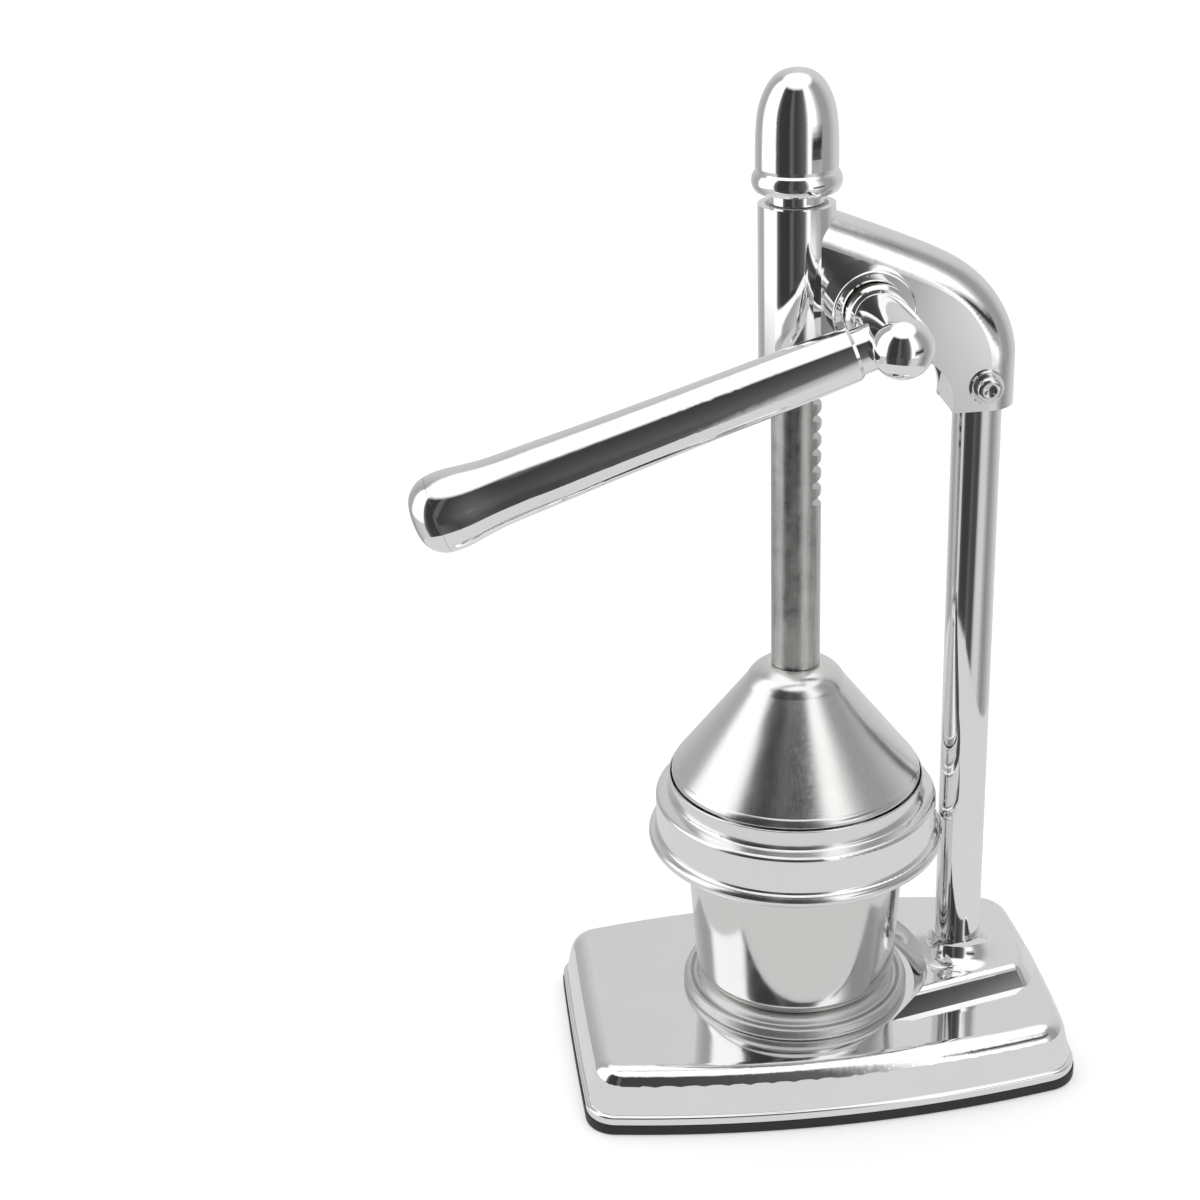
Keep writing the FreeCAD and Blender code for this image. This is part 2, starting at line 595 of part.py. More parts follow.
head_bolt = revolved("head_bolt", [
    (0.0, -16.0), (2.97, -16.0), (2.97, ["arm_half", 1.35]), (4.6, ["arm_half", 1.35]), (4.6, ["arm_half", 2.6]),
    ("arc", 4.25, ["arm_half", 4.2], 2.9, ["arm_half", 4.9]), (2.3, ["arm_half", 4.9]), (2.3, ["arm_half", 2.7]),
    (0.0, ["arm_half", 2.2]),
])
place(head_bolt, "column_x", 0.0, "bolt_z", Y_FRONT)
head_bolt_washer = revolved("head_bolt_washer", [
    (3.1, "arm_half"), (6.2, "arm_half"), (6.2, ["arm_half", 0.9]), (5.7, ["arm_half", 1.3]), (3.1, ["arm_half", 1.3]),
])
place(head_bolt_washer, "column_x", 0.0, "bolt_z", Y_FRONT)
nut = doc.addObject("Part::Prism", "nut_hexagon")
nut.Polygon = 6
nut.Circumradius = 5.6
nut.Height = 5.0
nut_bore = doc.addObject("Part::Cylinder", "nut_bore")
nut_bore.Radius = 2.99
nut_bore.Height = 5.0
head_bolt_nut = doc.addObject("Part::Cut", "head_bolt_nut")
head_bolt_nut.Base, head_bolt_nut.Tool = nut, nut_bore
head_bolt_nut.Label = "head_bolt_nut"
head_bolt_nut.Placement = FreeCAD.Placement(V(P("column_x"), P("arm_half") + 0.02, P("bolt_z")), FreeCAD.Rotation(V(1, 0, 0), -90))

# ------------------------------------------------------- rack and pinion --

def involute_gear(teeth, module, half_width, bore, backlash):
    """Spur gear about Z, a gap centred on -X, flanks as involutes."""
    rp = teeth * module / 2.0
    rb = rp * math.cos(math.radians(20.0))
    ra, rf = rp + 0.95 * module, rp - 1.2 * module
    inv = lambda a: math.tan(a) - a
    half = math.pi / 2.0 / teeth + inv(math.radians(20.0)) - backlash / 2.0 / rp
    flank = []
    for i in range(9):
        r = max(rb, rf) + (ra - max(rb, rf)) * i / 8.0
        flank.append((r, half - inv(math.acos(min(1.0, rb / r)))))
    points = []
    for k in range(int(teeth)):
        mid = math.pi + (k + 0.5) * 2.0 * math.pi / teeth
        points.append((rf, mid - math.pi / teeth))
        points.append((rf, mid - flank[0][1] - 0.02))
        points += [(r, mid - a) for r, a in flank]
        points += [(r, mid + a) for r, a in reversed(flank)]
        points.append((rf, mid + flank[0][1] + 0.02))
    wire = Part.makePolygon([V(r * math.cos(a), r * math.sin(a), -half_width) for r, a in points] +
                            [V(points[0][0] * math.cos(points[0][1]), points[0][0] * math.sin(points[0][1]), -half_width)])
    blank = Part.Face(wire).extrude(V(0, 0, 2.0 * half_width))
    return blank.cut(Part.makeCylinder(bore, 2.0 * half_width + 2.0, V(0, 0, -half_width - 1.0)))


pinion_gear = doc.addObject("Part::Feature", "pinion_gear")
pinion_gear.Label = "pinion_gear"
gear = involute_gear(P("gear_teeth"), P("gear_mod"), P("gear_half"), P("shaft_rad") + 0.02, 0.30)
keyway = Part.makeBox(2.5, 2.04, 14.0, V(P("shaft_rad") - 1.0, -1.02, -7.0))
pinion_gear.Shape = gear.cut(keyway)
pinion_gear.Placement = FreeCAD.Placement(V(P("pinion_x"), 0, P("pinion_z")), Y_FRONT)

shaft = revolved("pinion_shaft", [
    (0.0, -17.9), (5.4, -17.9), ("shaft_rad", -17.4), ("shaft_rad", -17.3), (5.0, -17.3), (5.0, -16.2), ("shaft_rad", -16.2),
    ("shaft_rad", 41.0), (5.2, 42.0), (0.0, 42.0),
])
sketch = new_sketch(shaft, "key_slot", "XY_Plane", 5.9)
box_outline(sketch, ["shaft_rad", -1.0], 8.0, -1.02, 1.02)
doc.recompute()
pocket(shaft, sketch, "key_slot_cut", 11.8)
sketch = new_sketch(shaft, "pin_hole", "XZ_Plane")
circle_at(sketch, 0.0, 30.0, 1.53)
doc.recompute()
pocket(shaft, sketch, "pin_hole_cut", 30.0, midplane=True)
place(shaft, "pinion_x", 0.0, "pinion_z", Y_FRONT)

key_block = doc.addObject("Part::Box", "pinion_key")
key_block.Label = "pinion_key"
key_block.Length, key_block.Width, key_block.Height = 2.4, 2.0, 11.6
key_block.Placement = FreeCAD.Placement(V(P("pinion_x") + P("shaft_rad") - 0.98, 5.8, P("pinion_z") - 1.0), Y_FRONT)

clip_washer = revolved("shaft_washer", [(["shaft_rad", 0.05], 15.45), (9.2, 15.45), (9.2, 16.15), (["shaft_rad", 0.05], 16.15)])
place(clip_washer, "pinion_x", 0.0, "pinion_z", FreeCAD.Rotation(V(1, 0, 0), -90))
clip = revolved("shaft_clip", [(5.05, 16.25), (7.6, 16.25), (7.6, 17.2), (5.05, 17.2)])
sketch = new_sketch(clip, "clip_mouth", "XY_Plane", 18.0)
box_outline(sketch, -2.4, 2.4, 0.0, 9.0)
doc.recompute()
pocket(clip, sketch, "clip_mouth_cut", 5.0)
place(clip, "pinion_x", 0.0, "pinion_z", FreeCAD.Rotation(V(1, 0, 0), -90))

# Rack rod: round bar, teeth milled across a strip on the +X side.
rack = revolved("rack_rod", [
    (0.0, "rod_low"), (["rod_rad", -0.4], "rod_low"), ("rod_rad", ["rod_low", 0.4]), ("rod_rad", ["rod_high", -0.6]),
    (["rod_rad", -0.6], "rod_high"), ("spigot_rad", "rod_high"), ("spigot_rad", ["spigot_high", -0.6]),
    (["spigot_rad", -0.6], "spigot_high"), (0.0, "spigot_high"),
])
sketch = new_sketch(rack, "strip_sides", "XY_Plane", ["rod_low", -1.0])
box_outline(sketch, 4.9, 10.0, "strip_half", 10.0)
box_outline(sketch, 4.9, 10.0, -10.0, [(-1.0, "strip_half")])
doc.recompute()
pocket(rack, sketch, "strip_cut", ["rack_high", "-rod_low", 1.0], reverse=True)
# one tooth gap, repeated at the rack's pitch
pitch = math.pi * P("gear_mod")
flank = math.tan(math.radians(20.0))
gap_low = P("pinion_z") - pitch * (math.floor((P("pinion_z") - P("rack_low")) / pitch) - 0.5)
depth = P("rack_line") - P("rack_root")
half_line = pitch / 4.0 + 0.08
half_root = half_line - depth * flank
half_tip = half_line + (P("rod_rad") + 0.3 - P("rack_line")) * flank
sketch = new_sketch(rack, "tooth_gap", "XZ_Plane")
closed_profile(sketch, [
    (["rod_rad", 0.3], gap_low - half_tip), (["rod_rad", 0.3], gap_low + half_tip),
    ("rack_root", gap_low + half_root), ("rack_root", gap_low - half_root),
])
doc.recompute()
gap = pocket(rack, sketch, "tooth_gap_cut", 30.0, midplane=True)
pattern = rack.newObject("PartDesign::LinearPattern", "tooth_gaps")
pattern.Originals = [gap]
pattern.Direction = (plane_axis(rack, "Z_Axis"), [""])
gaps = int((P("rack_high") - gap_low) / pitch) + 1
pattern.Length = pitch * (gaps - 1)
pattern.Occurrences = gaps
rack.Tip = pattern
before = gap.Shape.Volume
doc.recompute()
if not rack.Shape.Volume < before - 10:
    raise RuntimeError("the tooth gaps were not repeated")
sketch = new_sketch(rack, "rod_thread", "XY_Plane", ["rod_low", -1.0])
circle_at(sketch, 0.0, 0.0, 3.03)
doc.recompute()
pocket(rack, sketch, "rod_thread_cut", 21.0, reverse=True)

rod_cap = revolved("rod_cap", [
    (["spigot_rad", 0.04], ["guide_high", 0.3]), (9.2, ["guide_high", 0.3]), (9.4, ["guide_high", 0.5]), (9.4, 339.4), (14.0, 339.4),
    ("arc", 15.4, 342.8, 14.6, 345.6), (13.9, 346.4), (14.1, 347.6), (14.1, 352.0),
    ("spline", [(13.95, 358.0), (13.6, 363.0), (12.75, 367.9), (11.2, 372.2), (9.0, 375.9), (6.2, 378.4), (3.0, 379.6)], 0.0, "top_z"),
    (0.0, ["spigot_high", 0.4]), (["spigot_rad", 0.04], ["spigot_high", 0.4]),
])

# ----------------------------------------------------------------- lever --

hub = revolved("lever_hub", [
    (["shaft_rad", 0.03], "hub_start"), (10.6, "hub_start"), (11.0, ["hub_start", 0.4]), (11.0, ["hub_start", 2.2]),
    ("hub_rad", ["hub_start", 3.0]), ("hub_rad", "ball_y"),
    (0.0, "ball_y"), (0.0, 42.4), (["shaft_rad", 0.03], 42.4),
])
neck_turn = Y_FRONT.inverted().multiply(LEVER_TURN)
ball = hub.newObject("PartDesign::AdditiveSphere", "hub_ball")
ball.Radius = P("hub_rad")
ball.setExpression("Radius", "dims.hub_rad")
ball.Placement = FreeCAD.Placement(V(0, 0, P("ball_y")), FreeCAD.Rotation())
doc.recompute()
neck = hub.newObject("PartDesign::AdditiveCylinder", "hub_neck")
neck.Radius = P("neck_rad")
neck.setExpression("Radius", "dims.neck_rad")
neck.Height = P("tube_start") + 0.0
neck.setExpression("Height", "dims.tube_start")
neck.Placement = FreeCAD.Placement(V(0, 0, P("lever_y")), neck_turn)
doc.recompute()
spigot = hub.newObject("PartDesign::AdditiveCylinder", "hub_spigot")
spigot.Radius = 6.0
spigot.Height = 30.0
spigot.Placement = FreeCAD.Placement(V(0, 0, P("lever_y")), neck_turn)
doc.recompute()
hollow = hub.newObject("PartDesign::SubtractiveCylinder", "hub_shaft_bore")
hollow.Radius = P("shaft_rad") + 0.03
hollow.Height = 42.4 - 10.0
hollow.Placement = FreeCAD.Placement(V(0, 0, 10.0), FreeCAD.Rotation())
doc.recompute()
pin_cut = hub.newObject("PartDesign::SubtractiveCylinder", "hub_pin_bore")
pin_cut.Radius = 1.53
pin_cut.Height = 30.0
pin_cut.Placement = FreeCAD.Placement(V(0, 15.0, 30.0), FreeCAD.Rotation(V(1, 0, 0), 90))
doc.recompute()
stud_cut = hub.newObject("PartDesign::SubtractiveCylinder", "hub_stud_bore")
stud_cut.Radius = 2.53
stud_cut.Height = 24.0
stud_cut.Placement = FreeCAD.Placement(V(0, 0, P("lever_y")), neck_turn).multiply(FreeCAD.Placement(V(0, 0, 9.0), FreeCAD.Rotation()))
doc.recompute()
place(hub, "pinion_x", 0.0, "pinion_z", Y_FRONT)

hub_pin = doc.addObject("Part::Cylinder", "hub_pin")
hub_pin.Label = "hub_pin"
hub_pin.Radius = 1.5
hub_pin.Height = 19.6
hub_pin.Placement = FreeCAD.Placement(V(P("pinion_x"), -30.0, P("pinion_z") - 9.8), FreeCAD.Rotation())

tube = revolved("handle_tube", [
    (8.3, "tube_start"), (9.2, ["tube_start", 1.2]),
    ("spline", [(9.75, 40.0), (10.15, 75.0), (10.8, 108.0), (11.35, 128.0), (11.75, 140.0), (12.5, 146.5), (13.2, 151.5), (13.45, 155.0)],
     13.25, ["cap_seam", -0.05]),
    (11.2, ["cap_seam", -0.05]), (11.2, 148.0), (9.6, 136.0), (8.4, 60.0), (8.0, 36.0), (6.03, 36.0), (6.03, "tube_start"),
])
place(tube, "pinion_x", [(-1.0, "lever_y")], "pinion_z", LEVER_TURN)
end_cap = revolved("handle_end_cap", [
    (0.0, 149.0), (8.0, 149.0), (11.15, 150.0), (11.15, ["cap_seam", 0.05]), (13.2, ["cap_seam", 0.05]),
    ("spline", [(12.75, 161.3), (11.4, 163.8), (8.9, 166.2), (5.2, 167.6)], 0.0, "lever_tip"),
])
place(end_cap, "pinion_x", [(-1.0, "lever_y")], "pinion_z", LEVER_TURN)
stud = revolved("handle_stud", [(0.0, 9.2), (2.5, 9.2), (2.5, 30.3), (5.4, 30.3), (5.4, 33.5), (0.0, 33.5)])
place(stud, "pinion_x", [(-1.0, "lever_y")], "pinion_z", LEVER_TURN)

# ------------------------------------------------------------------ hood --

hood = revolved("press_hood", [
    (3.2, "hood_top"), (10.2, "hood_top"), ("arc", 14.9, 161.0, 18.6, 156.3), (45.2, 122.0), ("arc", 46.25, 120.6, "hood_rim_rad", "hood_rim"),
    (["hood_rim_rad", "-hood_wall"], "hood_rim"), (["hood_rim_rad", "-hood_wall", -0.35], 120.9), (44.1, 121.9),
    (17.7, 155.9), ("arc", 14.3, 160.15, 10.2, ["hood_top", "-hood_wall"]), (3.2, ["hood_top", "-hood_wall"]),
])
hood_washer = revolved("hood_washer", [(3.15, 160.8), (7.6, 160.8), (7.6, 162.15), (3.15, 162.15)])
hood_screw = revolved("hood_screw", [
    (0.0, 158.9), (1.9, 158.2), (1.9, 157.0), (3.4, 157.0), ("arc", 4.7, 158.0, 5.2, 160.75), (3.0, 160.75), (3.0, 180.0), (0.0, 180.0),
])

# -------------------------------------------------------------- strainer --

# The collar is an upper ring with its shoulder, seamed to a wider lower band.
collar = revolved("strainer_collar", [
    ("arc", ["collar_ring_rad", -0.1], ["ring_top", -0.12], "collar_ring_rad", ["ring_top", -0.5]),
    ("collar_ring_rad", 112.0), ("arc", 48.1, 111.0, 49.1, "shoulder_z"), (51.4, 110.2), ("arc", 52.3, 109.8, "skirt_rad", 108.8),
    (["skirt_rad", -0.9], 108.8), (51.2, 109.3), (48.8, 109.7), ("arc", 47.4, 110.4, 47.0, 111.8),
    (47.0, ["ring_top", -0.5]), ("arc", 47.1, ["ring_top", -0.12], ["collar_ring_rad", -0.4], "ring_top"),
])
band = revolved("strainer_band", [
    (["skirt_rad", -0.9], 108.8), ("skirt_rad", 108.8),
    (["skirt_rad", 0.2], ["skirt_low", 1.2]), ("arc", ["skirt_rad", 0.6], ["skirt_low", 0.4], ["skirt_rad", 1.4], "skirt_low"),
    (["skirt_rad", -0.9], "skirt_low"),
])
bowl = revolved("strainer_bowl", [
    (40.2, "shelf_z"), (40.2, 84.0), (39.2, 84.0), (39.2, ["shelf_z", 0.9]), (51.8, ["shelf_z", 0.9]), (51.8, 94.9), (54.3, 94.9),
    (55.1, "lip_high"), ("arc", "lip_rad", 93.4, 55.1, "lip_low"), (53.4, "lip_low"), (53.0, "shelf_z"),
])
skirt = revolved("strainer_skirt", [(39.0, 92.95), (40.0, 92.95), (40.0, 110.6), (39.0, 110.6)])
cone = revolved("strainer_cone", [
    (40.0, 110.6), ("arc", 39.6, 112.0, 38.8, 113.2), (10.6, 149.8),
    ("spline", [(8.6, 151.75), (6.1, 153.65), (3.1, 154.75)], 0.0, 155.0), (0.0, 153.8),
    ("spline", [(2.9, 153.6), (5.7, 152.6), (8.0, 150.85)], 9.8, 148.9), (37.9, 112.5), ("arc", 38.65, 111.6, 39.0, 110.6),
])
drains = []
for ring, (radius, hole) in enumerate([(17.5, 1.5), (24.5, 1.5), (31.5, 1.5)]):
    sketch = new_sketch(cone, "drain_plan%d" % ring, "XY_Plane", 160.0)
    circle_at(sketch, radius, 0.0, hole)
    doc.recompute()
    cut = pocket(cone, sketch, "drain%d" % ring, 70.0)
    before = cone.Shape.Volume
    polar(cone, [cut], "drains%d" % ring, 16)
    if not cone.Shape.Volume < before - 5:
        raise RuntimeError("the drain holes were not repeated")

# ------------------------------------------------------------------- cup --

cup = revolved("juice_cup", [
    (0.0, "cup_floor"), (31.8, "cup_floor"), ("arc", 36.5, 33.35, 38.4, 37.8), ("cup_low_rad", 39.0), ("cup_top_rad", ["cup_top", -1.4]),
    ("arc", 42.4, ["cup_top", -0.7], ["cup_top_rad", 0.1], "cup_top"), (["cup_top_rad", "-cup_wall"], "cup_top"),
    (["cup_low_rad", "-cup_wall"], 39.0), (37.6, 37.9), ("arc", 35.9, 33.95, 31.7, ["cup_floor", "cup_wall"]), (0.0, ["cup_floor", "cup_wall"]),
])
saucer = revolved("cup_saucer", [
    (40.9, ["base_top", "saucer_gap"]), (42.3, ["base_top", "saucer_gap"]), ("arc", 43.35, 25.7, "saucer_rad", 27.0), (42.9, 28.3),
    ("arc", 41.6, 29.4, 40.1, 28.7), ("arc", 39.1, 28.25, 38.0, 28.9), ("arc", 36.0, 30.75, 34.2, 31.35), (24.0, 31.35), (24.0, 29.6),
    (33.6, 29.6), ("arc", 36.4, 28.0, 39.0, 26.4),
])

# ---------------------------------------------------------------- output --

PIECES = [
    base_pad, base_shell, bottom_plate, plate_screws, column, column_plug, column_bolt, column_washer,
    head, guide_bush_upper, guide_bush_lower, shaft_bush_front, shaft_bush_rear, head_bolt, head_bolt_washer, head_bolt_nut,
    pinion_gear, shaft, key_block, clip_washer, clip, hub, hub_pin, tube, end_cap, stud,
    rack, rod_cap, hood, hood_washer, hood_screw, collar, band, bowl, skirt, cone, cup, saucer,
]
doc.recompute()
faults = []
for item in doc.Objects:
    if any(word in item.State for word in ("Invalid", "Error")):
        faults.append("%s is %s" % (item.Name, item.State))
for item in PIECES:
    if item.Shape.isNull() or not item.Shape.isValid() or item.Shape.Volume < 1.0:
        faults.append("%s has no valid shape" % item.Label)
    elif min(face.Area for face in item.Shape.Faces) < 1e-3:
        faults.append("%s has an empty face" % item.Label)
    if len(item.Label) > 55 or " " in item.Label:
        faults.append("label " + item.Label)
if faults:
    raise SystemExit("\n".join(faults))
os.makedirs("parts", exist_ok=True)
for item in PIECES:
    item.Shape.exportStep("parts/%s.step" % item.Label)
    box = item.Shape.BoundBox
    print("%-20s %2d solid %9.0f mm3  x %7.1f %7.1f  y %7.1f %7.1f  z %7.1f %7.1f" % (
        item.Label, len(item.Shape.Solids), item.Shape.Volume, box.XMin, box.XMax, box.YMin, box.YMax, box.ZMin, box.ZMax))
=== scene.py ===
import math
import bpy
from mathutils import Matrix, Vector

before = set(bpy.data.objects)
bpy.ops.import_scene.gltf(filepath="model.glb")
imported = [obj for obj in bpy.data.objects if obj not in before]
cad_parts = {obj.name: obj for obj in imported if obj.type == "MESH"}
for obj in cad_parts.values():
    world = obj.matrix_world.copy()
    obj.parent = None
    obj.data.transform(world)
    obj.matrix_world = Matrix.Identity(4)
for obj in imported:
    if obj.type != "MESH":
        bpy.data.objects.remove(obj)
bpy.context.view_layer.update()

scene = bpy.context.scene
scene.view_settings.view_transform = "Standard"
scene.view_settings.look = "None"
scene.view_settings.exposure = 0.0
scene.view_settings.gamma = 1.0

# ---------------------------------------------------------------- camera --

azimuth, pitch, roll = 0.09393, 0.42061, -0.03686
forward = Vector((math.sin(azimuth) * math.cos(pitch), math.cos(azimuth) * math.cos(pitch), -math.sin(pitch)))
right = Vector((math.cos(azimuth), -math.sin(azimuth), 0.0))
up = right.cross(forward)
c, s = math.cos(roll), math.sin(roll)
right, up = c * right + s * up, -s * right + c * up
turn = Matrix((right, up, -forward)).transposed().to_4x4()
camera = bpy.data.objects.new("camera", bpy.data.cameras.new("camera"))
scene.collection.objects.link(camera)
camera.matrix_world = Matrix.Translation((-0.13924, -0.71836, 0.51659)) @ turn
camera.data.sensor_width = 36.0
camera.data.lens = 65.77
camera.data.clip_start = 0.01
camera.data.clip_end = 50.0
scene.camera = camera

# ------------------------------------------------------------ node helper --


class Tree:
    """Short calls for building one node tree."""

    def __init__(self, tree):
        self.tree = tree
        tree.nodes.clear()

    def node(self, kind, **values):
        n = self.tree.nodes.new(kind)
        for key, value in values.items():
            setattr(n, key, value)
        return n

    def link(self, a, b):
        self.tree.links.new(a, b)

    def put(self, socket, value):
        if isinstance(value, bpy.types.NodeSocket):
            self.link(value, socket)
        else:
            socket.default_value = value

    def math(self, operation, *values, clamp=False):
        n = self.node("ShaderNodeMath", operation=operation, use_clamp=clamp)
        for k, value in enumerate(values):
            self.put(n.inputs[k], value)
        return n.outputs[0]

    def ramp(self, factor, stops, mode="LINEAR"):
        n = self.node("ShaderNodeValToRGB")
        n.color_ramp.interpolation = mode
        e = n.color_ramp.elements
        while len(e) < len(stops):
            e.new(0.5)
        for k, (position, value) in enumerate(stops):
            e[k].position = position
            e[k].color = (value, value, value, 1.0) if not isinstance(value, tuple) else value + (1.0,)
        self.link(factor, n.inputs[0])
        return n.outputs[0]

    def noise(self, vector, scale, detail=3.0, rough=0.5, w=None):
        n = self.node("ShaderNodeTexNoise")
        if w is not None:
            n.noise_dimensions = "4D"
            self.put(n.inputs["W"], w)
        self.link(vector, n.inputs["Vector"])
        n.inputs["Scale"].default_value = scale
        n.inputs["Detail"].default_value = detail
        n.inputs["Roughness"].default_value = rough
        return n.outputs[0]

    def spread(self, value, low, high, to_low, to_high):
        n = self.node("ShaderNodeMapRange")
        self.link(value, n.inputs["Value"])
        for name, v in (("From Min", low), ("From Max", high), ("To Min", to_low), ("To Max", to_high)):
            n.inputs[name].default_value = v
        return n.outputs[0]

    def scaled(self, vector, x, y, z):
        n = self.node("ShaderNodeVectorMath", operation="MULTIPLY")
        self.link(vector, n.inputs[0])
        n.inputs[1].default_value = (x, y, z)
        return n.outputs[0]


# ---------------------------------------------------------------- studio --

FRONT = math.atan2(-0.72, -0.17)
ROOM = [
    (-180, 0.68), (-152, 0.58), (-126, 0.42), (-112, 0.42), (-104, 1.25), (-60, 1.25), (-55, 0.15), (-45, 0.045), (-20, 0.04),
    (-14, 0.13), (-9, 0.12), (-4, 0.05), (4, 0.06), (12, 0.08), (24, 0.13), (29, 0.42), (35, 1.20), (55, 1.20), (64, 0.62),
    (76, 0.34), (98, 0.34), (112, 0.48), (128, 0.62), (152, 0.66), (180, 0.68),
]
# painted floor reflection: brightness round the object that the reflection cards glow with near it
FLOOR_REFLECTION = [
    (-180, 0.68), (-152, 0.60), (-126, 0.38), (-112, 0.36), (-104, 0.48), (-75, 0.62), (-60, 0.66), (-55, 0.12), (-45, 0.05),
    (-20, 0.05), (-14, 0.12), (-9, 0.12), (0, 0.09), (12, 0.06), (22, 0.10), (28, 0.46), (36, 0.66), (55, 0.66), (66, 0.42),
    (81, 0.26), (98, 0.40), (119, 0.58), (152, 0.74), (180, 0.68),
]


def banded(t, x, y, bands):
    """Brightness round the object: a dark sector in front, a tall softbox on each side of it, and a pale room behind."""
    ahead = t.math("ADD", t.math("MULTIPLY", x, math.cos(FRONT)), t.math("MULTIPLY", y, math.sin(FRONT)))
    side = t.math("SUBTRACT", t.math("MULTIPLY", y, math.cos(FRONT)), t.math("MULTIPLY", x, math.sin(FRONT)))
    angle = t.math("ARCTAN2", side, ahead)
    factor = t.math("ADD", t.math("MULTIPLY", angle, 0.5 / math.pi), 0.5)
    return t.ramp(factor, [(a / 360.0 + 0.5, v) for a, v in bands])


world = bpy.data.worlds.new("studio")
scene.world = world
world.use_nodes = True
t = Tree(world.node_tree)
split = t.node("ShaderNodeSeparateXYZ")
t.link(t.node("ShaderNodeTexCoord").outputs["Generated"], split.inputs[0])
x, y, z = split.outputs
room = banded(t, x, y, ROOM)
overhead = t.ramp(z, [(0.0, 0.0), (0.76, 0.0), (0.84, 1.0), (1.0, 1.0)])
mix = t.node("ShaderNodeMix", data_type="RGBA")
t.link(overhead, mix.inputs["Factor"])
t.link(room, mix.inputs["A"])
mix.inputs["B"].default_value = (1.15, 1.15, 1.16, 1.0)
lit = t.node("ShaderNodeBackground")
t.link(mix.outputs["Result"], lit.inputs["Color"])
lit.inputs["Strength"].default_value = 1.0
plain = t.node("ShaderNodeBackground")
plain.inputs["Color"].default_value = (1.0, 1.0, 1.0, 1.0)
pick = t.node("ShaderNodeMixShader")
t.link(t.node("ShaderNodeLightPath").outputs["Is Camera Ray"], pick.inputs[0])
t.link(lit.outputs[0], pick.inputs[1])
t.link(plain.outputs[0], pick.inputs[2])
t.link(pick.outputs[0], t.node("ShaderNodeOutputWorld").inputs["Surface"])


def ring(name, inner, outer, z, steps=96):
    """A flat ring, or a disc where inner is 0."""
    vertices, faces = [], []
    for k in range(steps):
        a = 2 * math.pi * k / steps
        vertices.append((outer * math.cos(a), outer * math.sin(a), z))
        if inner:
            vertices.append((inner * math.cos(a), inner * math.sin(a), z))
    if inner:
        for k in range(steps):
            a, b = 2 * k, 2 * ((k + 1) % steps)
            faces.append((a, b, b + 1, a + 1))
    else:
        faces.append(tuple(range(steps)))
    mesh = bpy.data.meshes.new(name)
    mesh.from_pydata(vertices, [], faces)
    o = bpy.data.objects.new(name, mesh)
    scene.collection.objects.link(o)
    return o


floor = ring("floor", 0.0, 6.0, -0.0002)
floor_paint = bpy.data.materials.new("floor_paint")
floor_paint.use_nodes = True
t = Tree(floor_paint.node_tree)
matt = t.node("ShaderNodeBsdfDiffuse")
matt.inputs["Color"].default_value = (0.86, 0.86, 0.86, 1.0)
glow = t.node("ShaderNodeEmission")
glow.inputs["Color"].default_value = (1.0, 1.0, 1.0, 1.0)
glow.inputs["Strength"].default_value = 0.42
both = t.node("ShaderNodeAddShader")
t.link(matt.outputs[0], both.inputs[0])
t.link(glow.outputs[0], both.inputs[1])
t.link(both.outputs[0], t.node("ShaderNodeOutputMaterial").inputs["Surface"])
floor.data.materials.append(floor_paint)

# painted reflections: two sheets that only the chrome's reflections see, standing in for the floor; the outer ring
# glows in bands by direction, darker in front and bright at the sides, and fades to the room's bands far out
far_reflection_card = ring("far_reflection_card", 0.34, 90.0, -0.0001)
near_reflection_card = ring("near_reflection_card", 0.0, 0.34, -0.0001)
for card in (far_reflection_card, near_reflection_card):
    card.visible_camera = False
    card.visible_diffuse = False
    card.visible_shadow = False
reflection_card_paint = bpy.data.materials.new("reflection_card_paint")
reflection_card_paint.use_nodes = True
t = Tree(reflection_card_paint.node_tree)
split = t.node("ShaderNodeSeparateXYZ")
t.link(t.node("ShaderNodeTexCoord").outputs["Object"], split.inputs[0])
glow = t.node("ShaderNodeEmission")
x, y = split.outputs[0], split.outputs[1]
away = t.math("SQRT", t.math("ADD", t.math("MULTIPLY", x, x), t.math("MULTIPLY", y, y)))
blend = t.node("ShaderNodeMix", data_type="RGBA")
t.link(t.spread(away, 0.8, 1.1, 0.0, 1.0), blend.inputs["Factor"])
t.link(banded(t, x, y, FLOOR_REFLECTION), blend.inputs["A"])
t.link(banded(t, x, y, ROOM), blend.inputs["B"])
t.link(blend.outputs["Result"], glow.inputs["Color"])
t.link(glow.outputs[0], t.node("ShaderNodeOutputMaterial").inputs["Surface"])
far_reflection_card.data.materials.append(reflection_card_paint)
# painted floor reflection: the inner disc glows an even grey under the object
near_reflection_paint = bpy.data.materials.new("near_reflection_paint")
near_reflection_paint.use_nodes = True
t = Tree(near_reflection_paint.node_tree)
glow = t.node("ShaderNodeEmission")
glow.inputs["Color"].default_value = (0.70, 0.70, 0.70, 1.0)
t.link(glow.outputs[0], t.node("ShaderNodeOutputMaterial").inputs["Surface"])
near_reflection_card.data.materials.append(near_reflection_paint)

